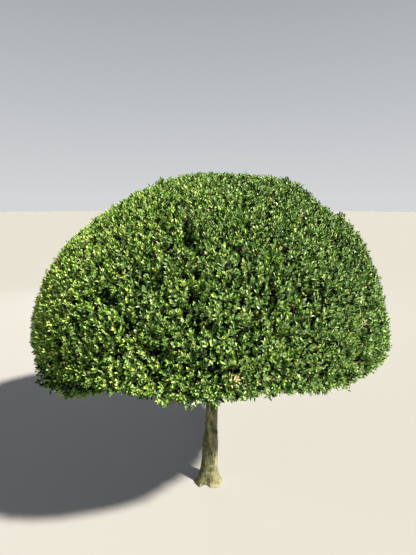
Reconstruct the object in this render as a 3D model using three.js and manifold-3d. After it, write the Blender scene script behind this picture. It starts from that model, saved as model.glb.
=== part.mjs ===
// A clipped topiary tree: one clear stem that flares at the ground, boughs fanned out from its fork,
// and a half-round dome of small leaves, cut clean round its lower edge.
// Millimetres, +Z up. The origin is the middle of the flat cut under the stem, at ground level.
// The viewer of the front stands on the -Y side.

import * as THREE from "three";
import { mergeVertices } from "three/addons/utils/BufferGeometryUtils.js";
import Module from "manifold-3d";

const wasm = await Module();
wasm.setup();

// Driving sizes of the crown. Its outline is where the furthest leaf tips end.
const CROWN_RADIUS = 876;
const CROWN_TOP_Z = 1698;
const WIDEST_Z = 930;
const RIM_Z = 868; // average height of the clipped lower edge
const RIM_ROUND = 72; // how far in from the side the lower edge is rounded
const CROWN_AXIS = new THREE.Vector3(14, 9, 0);
const DOME_POWER = 1.96; // 2 is an ellipse, more is squarer
const HOLLOW_RADIUS = 545; // the leafless space that the boughs cross
const HOLLOW_TOP_Z = 1290;
const FOLIAGE_DEPTH = 60; // from the leafy core out to the outline
const EDGE_DEPTH = 0.4; // share of it at the lower edge
const CORE_LUMP = 17; // how far the core swells and dips
const CORE_SEED = 11;
const FIRST_MASS_SEED = 100;

// Places where the outline stands out or falls back, by azimuth and by angle from the top.
const BULGES = [
  { azimuth: 358, polar: 29, out: 38, width: 8, tuft: true }, // unclipped shoots near the top
  { azimuth: 352, polar: 39, out: -22, width: 5 }, // the dip below them
  { azimuth: 342, polar: 53, out: 14, width: 9 }, // a fuller right shoulder
  { azimuth: 340, polar: 76, out: -12, width: 11 },
  { azimuth: 333, polar: 102, out: -14, width: 8 },
  { azimuth: 193, polar: 34, out: -20, width: 15 }, // a flatter left shoulder
  { azimuth: 180, polar: 52, out: -14, width: 30 },
  { azimuth: 195, polar: 84, out: 9, width: 16 },
];
// Places where the lower edge hangs below its average or, with a minus, is cut higher.
const HANGS = [
  { azimuth: 221, down: 90, width: 14 },
  { azimuth: 247, down: -48, width: 8 },
  { azimuth: 272, down: 8, width: 6 },
  { azimuth: 282, down: -56, width: 9 },
  { azimuth: 318, down: -10, width: 8 },
  { azimuth: 120, down: 26, width: 20 },
];

// Driving sizes of the stem.
const STEM_RADIUS = 33;
const BUTT_EXTRA = 9.5; // the lower stem is thicker by this much
const BUTT_Z = 272; // where the thicker lower stem ends
const BUTT_BLEND = 55;
const FLARE_EXTRA = 27;
const FLARE_HEIGHT = 46;
const FORK_Z = 905;
const FORK_SWELL = 7;
const FORK_SWELL_HEIGHT = 90;
const FORK_CROWN = 12; // the rounded top of the fork
const LEAN_X = 34; // how far the fork stands to the right of the foot
const LEAN_Y = 12;
const ROOT_LOBES = [
  { azimuth: 200, out: 13, width: 26 },
  { azimuth: 318, out: 12, width: 30 },
  { azimuth: 75, out: 10, width: 34 },
  { azimuth: 258, out: -12, width: 20 }, // the hollow between two roots
  { azimuth: 20, out: 5, width: 26 },
];
const STEM_SIDES = 20;
const STEM_RINGS = [0, 12, 28, 50, 85, 140, 220, 245, 272, 300, 420, 560, 700, 800, 860, 895];

// Boughs: one to each side mass, and a leader to the top mass.
const SIDE_MASSES = 7;
const FIRST_AZIMUTH = 264; // the first side mass faces the front
const TOP_MASS_ANGLE = 37; // from the vertical to the seam round the top mass
const SEAM_GAP = 5;
const CLEAR = 0.3; // between two pieces that meet
const SLIVER = 0.05; // edges shorter than this are closed up
const BOUGH_RADIUS = 17;
const BOUGH_TIP_RADIUS = 10;
const LEADER_RADIUS = 20;
const BOUGH_RISES = [24, 62]; // by turns, how far below the fork a bough leaves the stem
const LEADER_RISE = 10;
const BOUGH_LEAVES = { out: 95, up: 120 }; // its first stretch climbs steeply
const BOUGH_ARCH = { share: 0.62, up: 18 }; // then it arches over towards its mass
const STUB_LENGTH = 105; // of each limb's run, part of the stem as its collar
const BOUGH_END = 0.8; // share of the run where the bough ends and its mass's own stem starts
const BOUGH_SIDES = 8;
const BOUGH_STEPS = 10;
const BOUGH_TARGET = { polar: 58, out: 30 }; // where it aims for, just inside its mass's core
const RIBS = 4; // limbs that spread from a mass's stem into its core
const RIB_SPREAD = 120;
const RIB_DEPTH = 60;
const RIB_RADII = [7.5, 5];

// Sprays stand out of the core up to the outline. Each leaf stands for many of the real small ones.
const DOME_SPRAYS = 106;
const EDGE_SPRAYS = 35; // round the lower edge, by turns at two polar angles
const EDGE_POLAR = [106, 145];
const OUTLINE_LOSS = 8; // the most that a clipped tip falls short of the outline
const ROOT_DEPTH = 45; // how far into the core a twig starts
const ROOT_DROP = 7; // degrees by which its root lies lower than its tip
const LOWEST_ROOT = 79; // polar angle: the sprays below it hang over the lower edge
const ROOT_WANDER = 4;
const TWIG_RADIUS = 8;
const TWIG_TIP_RADIUS = 6;
const LEAF_LENGTH = 88;
const LEAF_WIDTH = 50;
const LEAF_WIDEST = 0.46; // share of its length where a leaf is widest
const LEAF_THICKNESS = 2.6;
const LEAF_FOLD = 5; // how far the two sides are raised above the midrib
const LEAF_PAIRS = 1;
const FIRST_PAIR = 14; // from the twig's end back to its first pair
const PAIR_SPACING = 15;
const LEAF_OPENING = [44, 62]; // degrees between a leaf and its twig
const TIP_LEAF = 0.86; // the leaf at the tip is shorter by this
const SPACE_MARGIN = 1; // between a leaf and the seam beside it

const up = new THREE.Vector3(0, 0, 1);
const radians = THREE.MathUtils.degToRad;
const mix = THREE.MathUtils.lerp;
const smooth = THREE.MathUtils.smoothstep;

// Numbers from 0 to 1 that are the same on every run.
function seeded(seed) {
  let state = seed;
  return () => {
    state = (state + 0x6d2b79f5) | 0;
    let t = Math.imul(state ^ (state >>> 15), 1 | state);
    t = (t + Math.imul(t ^ (t >>> 7), 61 | t)) ^ t;
    return ((t ^ (t >>> 14)) >>> 0) / 4294967296;
  };
}

// A smooth hump of height 1 where the two angles, in degrees, are equal.
function hump(angle, centre, width) {
  const away = ((angle - centre + 540) % 360) - 180;
  return Math.exp(-0.5 * (away / width) ** 2);
}

// Solids

function geometryOf(vertices, faces) {
  const geometry = new THREE.BufferGeometry();
  const places = new Float32Array(vertices.flatMap((p) => [p.x, p.y, p.z]));
  geometry.setAttribute("position", new THREE.BufferAttribute(places, 3));
  geometry.setIndex(faces.flat());
  return geometry;
}

function toSolid(geometry) {
  const merged = mergeVertices(geometry, 1e-4);
  const triVerts = new Uint32Array(merged.index.array);
  const vertProperties = merged.attributes.position.array;
  return new wasm.Manifold(new wasm.Mesh({ numProp: 3, vertProperties, triVerts }));
}

function toGeometry(solid) {
  const mesh = solid.getMesh();
  const geometry = new THREE.BufferGeometry();
  geometry.setAttribute("position", new THREE.BufferAttribute(mesh.vertProperties, 3));
  geometry.setIndex(new THREE.BufferAttribute(mesh.triVerts, 1));
  const faceted = geometry.toNonIndexed();
  faceted.computeVertexNormals();
  return faceted;
}

// The outer skin of the largest body: slivers are closed up, sealed hollows filled and loose
// scraps dropped.
function oneBody(solid) {
  const bodies = solid.simplify(SLIVER).decompose();
  return bodies.reduce((a, b) => (b.volume() > a.volume() ? b : a));
}

// Joins rings of points, all of one count, into a closed skin with flat ends.
function loft(rings) {
  const sides = rings[0].length;
  const middle = (ring) =>
    ring.reduce((sum, p) => sum.add(p), new THREE.Vector3()).divideScalar(sides);
  const vertices = [...rings.flat(), middle(rings[0]), middle(rings.at(-1))];
  const foot = vertices.length - 2;
  const tip = vertices.length - 1;
  const last = (rings.length - 1) * sides;
  const faces = [];
  for (let i = 0; i < sides; i++) {
    const j = (i + 1) % sides;
    faces.push([foot, j, i], [tip, last + i, last + j]);
    for (let row = 0; row < rings.length - 1; row++) {
      const a = row * sides;
      const b = a + sides;
      faces.push([a + i, a + j, b + j], [a + i, b + j, b + i]);
    }
  }
  return geometryOf(vertices, faces);
}

// One ring across a limb: radiusAt takes the azimuth round the limb, in degrees.
function ring(centre, side, other, sides, radiusAt) {
  return Array.from({ length: sides }, (_, i) => {
    const turn = (i / sides) * 2 * Math.PI;
    const radius = radiusAt(THREE.MathUtils.radToDeg(turn));
    return centre
      .clone()
      .addScaledVector(side, radius * Math.cos(turn))
      .addScaledVector(other, radius * Math.sin(turn));
  });
}

// Rings along a curve, without twist, whose radius follows radiusAt from 0 to 1.
function limbRings(curve, steps, sides, radiusAt) {
  let side = new THREE.Vector3(1, 0, 0);
  return Array.from({ length: steps + 1 }, (_, i) => {
    const share = i / steps;
    const along = curve.getTangentAt(share);
    side = side.clone().addScaledVector(along, -side.dot(along)).normalize();
    const other = along.clone().cross(side);
    return ring(curve.getPointAt(share), side, other, sides, () => radiusAt(share));
  });
}

function moved(points, shift) {
  return points.map((p) => p.clone().add(shift));
}

// The crown's outline

const toRim = (azimuth) =>
  RIM_Z - HANGS.reduce((sum, h) => sum + h.down * hump(azimuth, h.azimuth, h.width), 0);

const bulge = (azimuth, polar) =>
  BULGES.reduce((sum, b) => {
    const near = hump(azimuth, b.azimuth, b.width / Math.max(0.2, Math.sin(radians(polar))));
    return sum + b.out * near * hump(polar, b.polar, b.width);
  }, 0);

// The level direction at an azimuth, and a point that far from the crown's axis.
function sideways(azimuth) {
  return new THREE.Vector3(Math.cos(radians(azimuth)), Math.sin(radians(azimuth)), 0);
}

function around(azimuth, distance, z) {
  return sideways(azimuth).multiplyScalar(distance).add(CROWN_AXIS).setZ(z);
}

// A point of the dome: polar runs from 0 at the top to 90 at the widest level and on to 180 under
// the rounded lower edge. Inset is how far inside the outline it lies.
function domePoint(azimuth, polar, inset) {
  const a = radians(polar);
  const power = 2 / DOME_POWER;
  const s = Math.sin(a) ** power;
  const c = Math.abs(Math.cos(a)) ** power;
  const radius = CROWN_RADIUS - inset + bulge(azimuth, polar);
  if (polar <= 90) {
    const height = CROWN_TOP_Z - WIDEST_Z - inset + bulge(azimuth, polar);
    return around(azimuth, radius * s, WIDEST_Z + height * c);
  }
  const low = toRim(azimuth) + inset * EDGE_DEPTH;
  const edge = WIDEST_Z - low;
  return around(azimuth, radius - RIM_ROUND * (1 - s), WIDEST_Z - edge * c);
}

function hollowPoint(azimuth, polar) {
  const a = radians(polar);
  const height = HOLLOW_TOP_Z - RIM_Z;
  return around(azimuth, HOLLOW_RADIUS * Math.sin(a), RIM_Z + height * Math.cos(a));
}

// The leafy core: a lumpy shell with its outer side inside the outline and the hollow under it.
// The masses are cut out of it. Its rings run at these polar angles.
function crownCore() {
  const columns = SIDE_MASSES * 4;
  const random = seeded(CORE_SEED);
  const outer = [16, 31, 46, 60, 74, 88, 110, 140, 180];
  const inner = [90, 68, 45, 22];
  const azimuthOf = (i) => FIRST_AZIMUTH + ((i + 0.5) / columns) * 360;
  const lump = () => mix(-CORE_LUMP, CORE_LUMP, random());
  const rows = [
    ...outer.map((polar) => (azimuth) => domePoint(azimuth, polar, FOLIAGE_DEPTH + lump())),
    ...inner.map((polar) => (azimuth) => hollowPoint(azimuth, polar)),
  ];
  const rings = rows.map((at) =>
    Array.from({ length: columns }, (_, i) => at(azimuthOf(i))),
  );
  return toSolid(loft(rings.reverse()));
}

// The stem, with the stubs of its boughs

const stemMiddle = (z) => {
  const share = z / FORK_Z;
  return new THREE.Vector3(LEAN_X * share ** 0.8, LEAN_Y * share, z);
};

function stemRadius(z, azimuth) {
  const flare = Math.exp(-z / FLARE_HEIGHT);
  const butt = BUTT_EXTRA * (1 - smooth(z, BUTT_Z - BUTT_BLEND, BUTT_Z + BUTT_BLEND));
  const fork = FORK_SWELL * smooth(z, FORK_Z - FORK_SWELL_HEIGHT, FORK_Z);
  const lobes = ROOT_LOBES.reduce(
    (sum, l) => sum + l.out * hump(azimuth, l.azimuth, l.width),
    0,
  );
  return STEM_RADIUS + butt + fork + (FLARE_EXTRA + lobes) * flare;
}

function stemSolid() {
  const x = new THREE.Vector3(1, 0, 0);
  const y = new THREE.Vector3(0, 1, 0);
  const rings = STEM_RINGS.map((z) =>
    ring(stemMiddle(z), x, y, STEM_SIDES, (azimuth) => stemRadius(z, azimuth)),
  );
  const top = FORK_Z + FORK_CROWN;
  const crown = ring(stemMiddle(top), x, y, STEM_SIDES, () => STEM_RADIUS - FORK_CROWN * 0.75);
  return toSolid(loft([...rings, crown]));
}

// One limb's whole run, from inside the stem to inside its mass. It is cut into the stem's stub,
// the bough, and the mass's own stem, so that they line up.
function limbRun({ azimuth, rise, radius, end }) {
  const start = stemMiddle(FORK_Z - rise);
  const out = azimuth === null ? new THREE.Vector3() : sideways(azimuth);
  const first = start
    .clone()
    .addScaledVector(out, BOUGH_LEAVES.out)
    .addScaledVector(up, BOUGH_LEAVES.up);
  const second = start.clone().lerp(end, BOUGH_ARCH.share).addScaledVector(up, BOUGH_ARCH.up);
  const curve = new THREE.CatmullRomCurve3([start, first, second, end]);
  const length = curve.getLength();
  const taper = (share) => mix(radius, BOUGH_TIP_RADIUS, Math.min(1, share / BOUGH_END));
  const rings = limbRings(curve, BOUGH_STEPS, BOUGH_SIDES, taper);
  const stubRing = Math.max(2, Math.round((STUB_LENGTH / length) * BOUGH_STEPS));
  const endRing = Math.round(BOUGH_END * BOUGH_STEPS);
  const gapAt = (i) => curve.getTangentAt(i / BOUGH_STEPS).multiplyScalar(CLEAR);
  return {
    stub: rings.slice(0, stubRing + 1),
    bough: [moved(rings[stubRing], gapAt(stubRing)), ...rings.slice(stubRing + 1, endRing + 1)],
    massStem: [moved(rings[endRing], gapAt(endRing)), ...rings.slice(endRing + 1)],
    forkOfMass: curve.getPointAt(1 - 0.5 * (1 - BOUGH_END)),
  };
}

// Masses of foliage

// Flat seams round each mass. A point is inside where normal . point is over offset.
function seam(normal, through) {
  const n = normal.clone().normalize();
  return { normal: n, offset: n.dot(through) + SEAM_GAP / 2 };
}

const centre = CROWN_AXIS.clone().setZ(RIM_Z);
const massAzimuth = (i) => FIRST_AZIMUTH + (i / SIDE_MASSES) * 360;

function topSeam(azimuth, inwards) {
  const lean = radians(TOP_MASS_ANGLE);
  const normal = sideways(azimuth)
    .multiplyScalar(-Math.cos(lean))
    .addScaledVector(up, Math.sin(lean));
  return seam(normal.multiplyScalar(inwards), centre);
}

function sideSeams(i) {
  const half = 180 / SIDE_MASSES;
  return [
    seam(sideways(massAzimuth(i) - half + 90), centre),
    seam(sideways(massAzimuth(i) + half - 90), centre),
    topSeam(massAzimuth(i), -1),
  ];
}

const topSeams = Array.from({ length: SIDE_MASSES }, (_, i) => topSeam(massAzimuth(i), 1));

const inSpace = (p, seams) =>
  seams.every(({ normal, offset }) => normal.dot(p) > offset + SPACE_MARGIN);

// A leaf of eight faces: foot, tip, two sides, and its midrib's upper and lower points.
function leafPoints(foot, along, face, length) {
  const across = face.clone().cross(along).normalize();
  const width = (LEAF_WIDTH * length) / LEAF_LENGTH / 2;
  const widest = LEAF_WIDEST * length;
  const at = (distance, side, lift) =>
    foot
      .clone()
      .addScaledVector(along, distance)
      .addScaledVector(across, side)
      .addScaledVector(face, lift);
  return [
    at(0, 0, 0),
    at(widest, width, LEAF_FOLD),
    at(length, 0, 0),
    at(widest, -width, LEAF_FOLD),
    at(widest, 0, LEAF_THICKNESS / 2),
    at(widest, 0, -LEAF_THICKNESS / 2),
  ];
}

const LEAF_FACES = [
  [0, 4, 1],
  [1, 4, 2],
  [2, 4, 3],
  [3, 4, 0],
  [0, 1, 5],
  [1, 2, 5],
  [2, 3, 5],
  [3, 0, 5],
];

// One spray: a three-sided twig out of the core with pairs of leaves, each pair turned a
// quarter, and one leaf at its tip. It ends on the outline.
function sprayPieces(azimuth, polar, seams, random) {
  const wander = (reach) => mix(-reach, reach, random());
  const tip = domePoint(azimuth, polar, random() * OUTLINE_LOSS);
  const rootPolar = Math.min(polar + ROOT_DROP, LOWEST_ROOT) + wander(ROOT_WANDER);
  const rootAzimuth = azimuth + wander(ROOT_WANDER);
  const root = domePoint(rootAzimuth, rootPolar, FOLIAGE_DEPTH + ROOT_DEPTH);
  const along = tip.clone().sub(root).normalize();
  const twigEnd = tip.clone().addScaledVector(along, -LEAF_LENGTH * TIP_LEAF);
  const side = new THREE.Vector3().crossVectors(along, up).normalize();
  const other = along.clone().cross(side);
  const twig = [
    ring(root, side, other, 3, () => TWIG_RADIUS),
    ring(twigEnd.clone().addScaledVector(along, FIRST_PAIR), side, other, 3, () => TWIG_TIP_RADIUS),
  ];
  if (!twig.flat().every((p) => inSpace(p, seams))) return [];
  const pieces = [toSolid(loft(twig))];
  const addLeaf = (foot, direction, face, length) => {
    const points = leafPoints(foot, direction, face, length);
    if (points.every((p) => inSpace(p, seams))) {
      pieces.push(toSolid(geometryOf(points, LEAF_FACES)));
    }
  };
  addLeaf(twigEnd, along, other, LEAF_LENGTH * TIP_LEAF);
  const firstTurn = random() * 2 * Math.PI;
  for (let pair = 0; pair < LEAF_PAIRS; pair++) {
    for (const half of [0, 1]) {
      const back = FIRST_PAIR + pair * PAIR_SPACING + half * LEAF_FOLD;
      const foot = twigEnd.clone().addScaledVector(along, -back);
      const turn = firstTurn + (pair / 2 + half) * Math.PI + wander(0.3);
      const outward = side
        .clone()
        .multiplyScalar(Math.cos(turn))
        .addScaledVector(other, Math.sin(turn));
      const open = radians(mix(...LEAF_OPENING, random()));
      const direction = along
        .clone()
        .multiplyScalar(Math.cos(open))
        .addScaledVector(outward, Math.sin(open));
      const face = along
        .clone()
        .multiplyScalar(Math.sin(open))
        .addScaledVector(outward, -Math.cos(open));
      addLeaf(foot, direction, face, LEAF_LENGTH * mix(0.8, 1, random()));
    }
  }
  return pieces;
}

// Even places for the sprays over the dome, a row of them round the lower edge, and one on each
// tuft that stands out.
function sprayPlaces() {
  const golden = 180 * (3 - Math.sqrt(5));
  const dome = Array.from({ length: DOME_SPRAYS }, (_, i) => {
    const polar = THREE.MathUtils.radToDeg(Math.acos(1 - (i + 0.5) / DOME_SPRAYS));
    return { azimuth: (i * golden) % 360, polar };
  });
  const edge = Array.from({ length: EDGE_SPRAYS }, (_, i) => {
    return { azimuth: (i / EDGE_SPRAYS) * 360, polar: EDGE_POLAR[i % 2] };
  });
  const tufts = BULGES.filter((b) => b.tuft);
  return [...dome, ...edge, ...tufts];
}

function massSolid(core, seams, run, endPoint, seed) {
  const random = seeded(seed);
  const body = seams.reduce((s, p) => s.trimByPlane(p.normal.toArray(), p.offset), core);
  const pieces = [body, toSolid(loft(run.massStem))];
  const outward = endPoint.clone().sub(run.forkOfMass).normalize();
  const side = outward.clone().cross(up).lengthSq() > 0.01
    ? outward.clone().cross(up).normalize()
    : new THREE.Vector3(1, 0, 0);
  const other = outward.clone().cross(side);
  for (let rib = 0; rib < RIBS; rib++) {
    const turn = ((rib + 0.5) / RIBS) * 2 * Math.PI;
    const end = endPoint
      .clone()
      .addScaledVector(side, RIB_SPREAD * Math.cos(turn))
      .addScaledVector(other, RIB_SPREAD * Math.sin(turn))
      .addScaledVector(outward, RIB_DEPTH);
    const curve = new THREE.LineCurve3(run.forkOfMass, end);
    pieces.push(toSolid(loft(limbRings(curve, 1, 5, (share) => mix(...RIB_RADII, share)))));
  }
  for (const { azimuth, polar } of sprayPlaces()) {
    const place = domePoint(azimuth, polar, FOLIAGE_DEPTH);
    if (inSpace(place, seams)) pieces.push(...sprayPieces(azimuth, polar, seams, random));
  }
  return oneBody(wasm.Manifold.union(pieces));
}

// The tree

const bark = new THREE.MeshStandardMaterial({ color: "#6f6a4c", roughness: 0.9, metalness: 0 });
const leaves = new THREE.MeshStandardMaterial({ color: "#5d8233", roughness: 0.5, metalness: 0 });

const tree = new THREE.Group();

function add(name, solid, material) {
  const mesh = new THREE.Mesh(toGeometry(solid), material);
  mesh.name = name;
  tree.add(mesh);
}

const core = crownCore();
const limbs = Array.from({ length: SIDE_MASSES }, (_, i) => ({
  bough: `bough_${i + 1}`,
  mass: `foliage_side_${i + 1}`,
  azimuth: massAzimuth(i),
  rise: BOUGH_RISES[i % 2],
  radius: BOUGH_RADIUS,
  end: hollowPoint(massAzimuth(i), BOUGH_TARGET.polar).addScaledVector(
    sideways(massAzimuth(i)),
    BOUGH_TARGET.out,
  ),
  seams: sideSeams(i),
}));
limbs.push({
  bough: "leader",
  mass: "foliage_top",
  azimuth: null,
  rise: LEADER_RISE,
  radius: LEADER_RADIUS,
  end: hollowPoint(0, 0).addScaledVector(up, BOUGH_TARGET.out),
  seams: topSeams,
});

const runs = limbs.map(limbRun);
const stubs = runs.map((run) => toSolid(loft(run.stub)));
add("trunk", oneBody(wasm.Manifold.union([stemSolid(), ...stubs])), bark);
limbs.forEach((limb, i) => {
  add(limb.bough, toSolid(loft(runs[i].bough)), bark);
  add(limb.mass, massSolid(core, limb.seams, runs[i], limb.end, FIRST_MASS_SEED + i), leaves);
});

export default tree;
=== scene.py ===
# %% [markdown]
# # A clipped topiary dome
# The plant is an evergreen shrub grown as a small tree: one clear stem, boughs that fan out from its
# fork, and a half-round dome of small leathery leaves that shears keep in shape.
# The solids of the part already fix its size. This lesson dresses them: the stem and the boughs get
# bark, and each mass of foliage gets limbs, twigs and real leaves.
# We start by loading the solids as a fixed frame. Nothing that we make may reach out of their box.

# %% Load the frame
import math

import bmesh
import bpy
import numpy as np
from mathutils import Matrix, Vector


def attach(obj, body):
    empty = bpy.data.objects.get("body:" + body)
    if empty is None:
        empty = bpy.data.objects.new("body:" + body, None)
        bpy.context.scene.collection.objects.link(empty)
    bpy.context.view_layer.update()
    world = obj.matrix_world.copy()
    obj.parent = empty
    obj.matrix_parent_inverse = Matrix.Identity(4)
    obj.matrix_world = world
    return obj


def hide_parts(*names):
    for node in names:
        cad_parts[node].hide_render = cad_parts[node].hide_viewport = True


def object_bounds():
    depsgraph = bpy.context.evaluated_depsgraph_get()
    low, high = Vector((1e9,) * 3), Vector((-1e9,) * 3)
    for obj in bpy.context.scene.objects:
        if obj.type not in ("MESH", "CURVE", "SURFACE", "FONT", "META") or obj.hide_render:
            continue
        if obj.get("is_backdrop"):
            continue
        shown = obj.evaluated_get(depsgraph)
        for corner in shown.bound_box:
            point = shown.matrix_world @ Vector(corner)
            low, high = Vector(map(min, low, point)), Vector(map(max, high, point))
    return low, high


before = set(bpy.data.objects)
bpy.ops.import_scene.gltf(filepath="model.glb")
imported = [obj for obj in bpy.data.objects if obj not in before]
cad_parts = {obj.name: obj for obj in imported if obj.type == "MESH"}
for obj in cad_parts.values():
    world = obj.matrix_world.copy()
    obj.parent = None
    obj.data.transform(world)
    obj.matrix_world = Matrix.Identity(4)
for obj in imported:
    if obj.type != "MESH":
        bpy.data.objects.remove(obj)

cad_low, cad_high = (np.array(corner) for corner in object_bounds())
print("nodes:", len(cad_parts), "box:", cad_low.round(3), cad_high.round(3))

# %% [markdown]
# ## A few small helpers
# Colours are easiest to pick as the hex values that a screen shows. Blender calculates with linear
# light, so one function turns the first into the second. Another gives the inputs of a node values
# or links, and a node among the values is linked from its first output.

# %% Colours, nodes, objects and materials
def linear(code):
    """An sRGB hex colour, such as "#6f6a4c", as linear red, green, blue and alpha."""
    shares = [int(code[i : i + 2], 16) / 255 for i in (1, 3, 5)]
    bright = [s / 12.92 if s <= 0.04045 else ((s + 0.055) / 1.055) ** 2.4 for s in shares]
    return (*bright, 1.0)


def fill(node, sockets):
    """Gives the named inputs of a node their values or links."""
    for name, value in sockets.items():
        if isinstance(value, bpy.types.Node):
            value = value.outputs[0]
        if isinstance(value, bpy.types.NodeSocket):
            node.id_data.links.new(value, node.inputs[name])
        else:
            node.inputs[name].default_value = value
    return node


def add_node(tree, kind, sockets=None, **settings):
    """Adds a node. Settings are its own properties, and sockets fill its inputs."""
    node = tree.nodes.new(kind)
    for name, value in settings.items():
        setattr(node, name, value)
    return fill(node, sockets or {})


def add_object(name, data):
    made = bpy.data.objects.new(name, data)
    bpy.context.scene.collection.objects.link(made)
    return made


def new_material(name, sockets):
    """A material whose one shader has these inputs."""
    material = bpy.data.materials.new(name)
    material.use_nodes = True
    fill(material.node_tree.nodes["Principled BSDF"], sockets)
    return material


print("olive bark in linear light:", [round(c, 3) for c in linear("#6f6a4c")])

# %% [markdown]
# ## Camera
# The picture was taken standing up, with a phone at about 1.55 m, 2.1 m from the stem, looking a
# little down. A wide lens that close makes the dome's front look larger than its back. The horizon's
# height in the picture gives the tilt, and real sizes give the lens.

# %% Set the camera
PHOTO_HEIGHT = 555  # pixels, and the sensor's long side
PHOTO_FOCAL = 417  # pixels
HORIZON_ROW = 200
SENSOR = 36.0  # millimetres
EYE = (-0.002, -2.1, 1.55)

tilt = math.atan((PHOTO_HEIGHT / 2 - HORIZON_ROW) / PHOTO_FOCAL)
camera = add_object("camera", bpy.data.cameras.new("camera"))
camera.data.sensor_width = SENSOR
camera.data.lens = SENSOR * PHOTO_FOCAL / PHOTO_HEIGHT
camera.location = EYE
camera.rotation_euler = (math.pi / 2 - tilt, 0, 0)
bpy.context.scene.camera = camera
print("tilt", round(math.degrees(tilt), 2), "degrees, lens", round(camera.data.lens, 2), "mm")

# %% [markdown]
# ## Studio
# The plant stands on plain pale paper: a flat disc, so large that its edge is the horizon.

# %% Floor
FLOOR_RADIUS = 60.0
FLOOR_SIDES = 96

turns = np.linspace(0, 2 * np.pi, FLOOR_SIDES, endpoint=False)
rim = [(FLOOR_RADIUS * math.cos(t), FLOOR_RADIUS * math.sin(t), 0.0) for t in turns]
disc = bpy.data.meshes.new("floor")
disc.from_pydata(rim, [], [tuple(range(FLOOR_SIDES))])
floor = add_object("floor", disc)
paper = new_material("matt studio paper", {"Base Color": linear("#929290"), "Roughness": 0.95})
floor.data.materials.append(paper)
floor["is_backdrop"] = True

# %% [markdown]
# ## Light
# The plant's shadow in the picture falls to the left and a little back, and leaves the stem's foot
# in the light. So the key light comes from the right, about 42 degrees high. Its rays are parallel
# and it is a few degrees wide, so single leaves catch the light and the gaps between them stay dark.
# Two large lamps and the world fill the shadows. The world is pale at the horizon and darker
# overhead, as a hazy sky is.

# %% Lights
KEY_AZIMUTH = -33.0
KEY_HEIGHT = 42.0
KEY_STRENGTH = 12.0
KEY_WIDTH = 3.0

key = add_object("key", bpy.data.lights.new("key", "SUN"))
key.data.energy = KEY_STRENGTH
key.data.angle = math.radians(KEY_WIDTH)
key.data.color = linear("#fff7e8")[:3]
key.rotation_euler = (math.radians(90 - KEY_HEIGHT), 0, math.radians(KEY_AZIMUTH + 90))

LIGHTS = (  # name, place, size in metres, watts, colour
    ("fill", (-3.6, -2.6, 3.6), 1.6, 52, "#f4f6ff"),
    ("back", (-1.5, 5.2, 2.6), 3.0, 60, "#f4f6ff"),
)
AIM = Vector((0.0, 0.0, 1.2))
for name, place, size, watts, colour in LIGHTS:
    lamp = add_object(name, bpy.data.lights.new(name, "AREA"))
    lamp.data.size = size
    lamp.data.energy = watts
    lamp.data.color = linear(colour)[:3]
    lamp.location = place
    lamp.rotation_euler = (AIM - Vector(place)).to_track_quat("-Z", "Y").to_euler()

SKY = ((0.0, "#d4d6d8"), (0.4, "#a8acb0"), (0.58, "#5a5e64"), (1.0, "#43464b"))  # sine of the height
world = bpy.data.worlds.new("pale studio")
world.use_nodes = True
sky_tree = world.node_tree
direction = add_node(sky_tree, "ShaderNodeTexCoord").outputs["Generated"]
height = add_node(sky_tree, "ShaderNodeSeparateXYZ", {"Vector": direction}).outputs["Z"]
sky = add_node(sky_tree, "ShaderNodeValToRGB", {"Fac": height})
sky.color_ramp.elements[0].color = linear(SKY[0][1])
sky.color_ramp.elements[1].color = linear(SKY[-1][1])
for position, colour in SKY[1:-1]:
    sky.color_ramp.elements.new(position).color = linear(colour)
fill(sky_tree.nodes["Background"], {"Color": sky})
bpy.context.scene.world = world
bpy.context.scene.view_settings.view_transform = "Standard"
print("lights:", ["key", *(light[0] for light in LIGHTS)])

# %% [markdown]
# ## The crown's outline
# Shears leave a surface, so the crown is drawn as one: a dome that is almost half an ellipse, cut
# level round its lower edge. A few places stand out or fall back, and the edge hangs lower here and
# there. The solids follow the same rule with the same sizes, so the leaves end where they do. A
# point on the surface is named by its azimuth and by its angle from the top.

# %% Dome sizes and points
CROWN_RADIUS = 0.876
CROWN_TOP = 1.698
WIDEST = 0.93
RIM = 0.868
RIM_ROUND = 0.072
CROWN_AXIS = np.array((0.014, 0.009, 0.0))
DOME_POWER = 1.96
EDGE_DEPTH = 0.4  # share of an inset that lifts the lower edge
HOLLOW_RADIUS = 0.545
HOLLOW_TOP = 1.29
BULGES = (  # azimuth, polar, out, width
    (358, 29, 0.038, 8), (352, 39, -0.022, 5), (342, 53, 0.014, 9), (340, 76, -0.012, 11),
    (333, 102, -0.014, 8), (193, 34, -0.02, 15), (180, 52, -0.014, 30), (195, 84, 0.009, 16),
)
HANGS = (  # azimuth, down, width
    (221, 0.09, 14), (247, -0.048, 8), (272, 0.008, 6),
    (282, -0.056, 9), (318, -0.01, 8), (120, 0.026, 20),
)
UP = np.array((0.0, 0.0, 1.0))
GOLDEN_TURN = 180 * (3 - math.sqrt(5))


def unit(vectors):
    """The same directions with length 1."""
    return vectors / np.linalg.norm(vectors, axis=-1, keepdims=True)


def hump(angle, centre, width):
    """A smooth hump of height 1 where two angles, in degrees, are equal."""
    away = (angle - centre + 540) % 360 - 180
    return np.exp(-0.5 * (away / width) ** 2)


def sideways(azimuth):
    turn = np.radians(azimuth)
    return np.stack((np.cos(turn), np.sin(turn), np.zeros_like(turn)), axis=-1)


def bulge(azimuth, polar, table=BULGES):
    """How far the places in a table push the surface out. Rows hold azimuth, polar, out and width."""
    narrow = np.maximum(0.2, np.sin(np.radians(polar)))
    return sum(out * hump(azimuth, a, w / narrow) * hump(polar, p, w) for a, p, out, w in table)


def lower_edge(azimuth):
    return RIM - sum(down * hump(azimuth, a, width) for a, down, width in HANGS)


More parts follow.
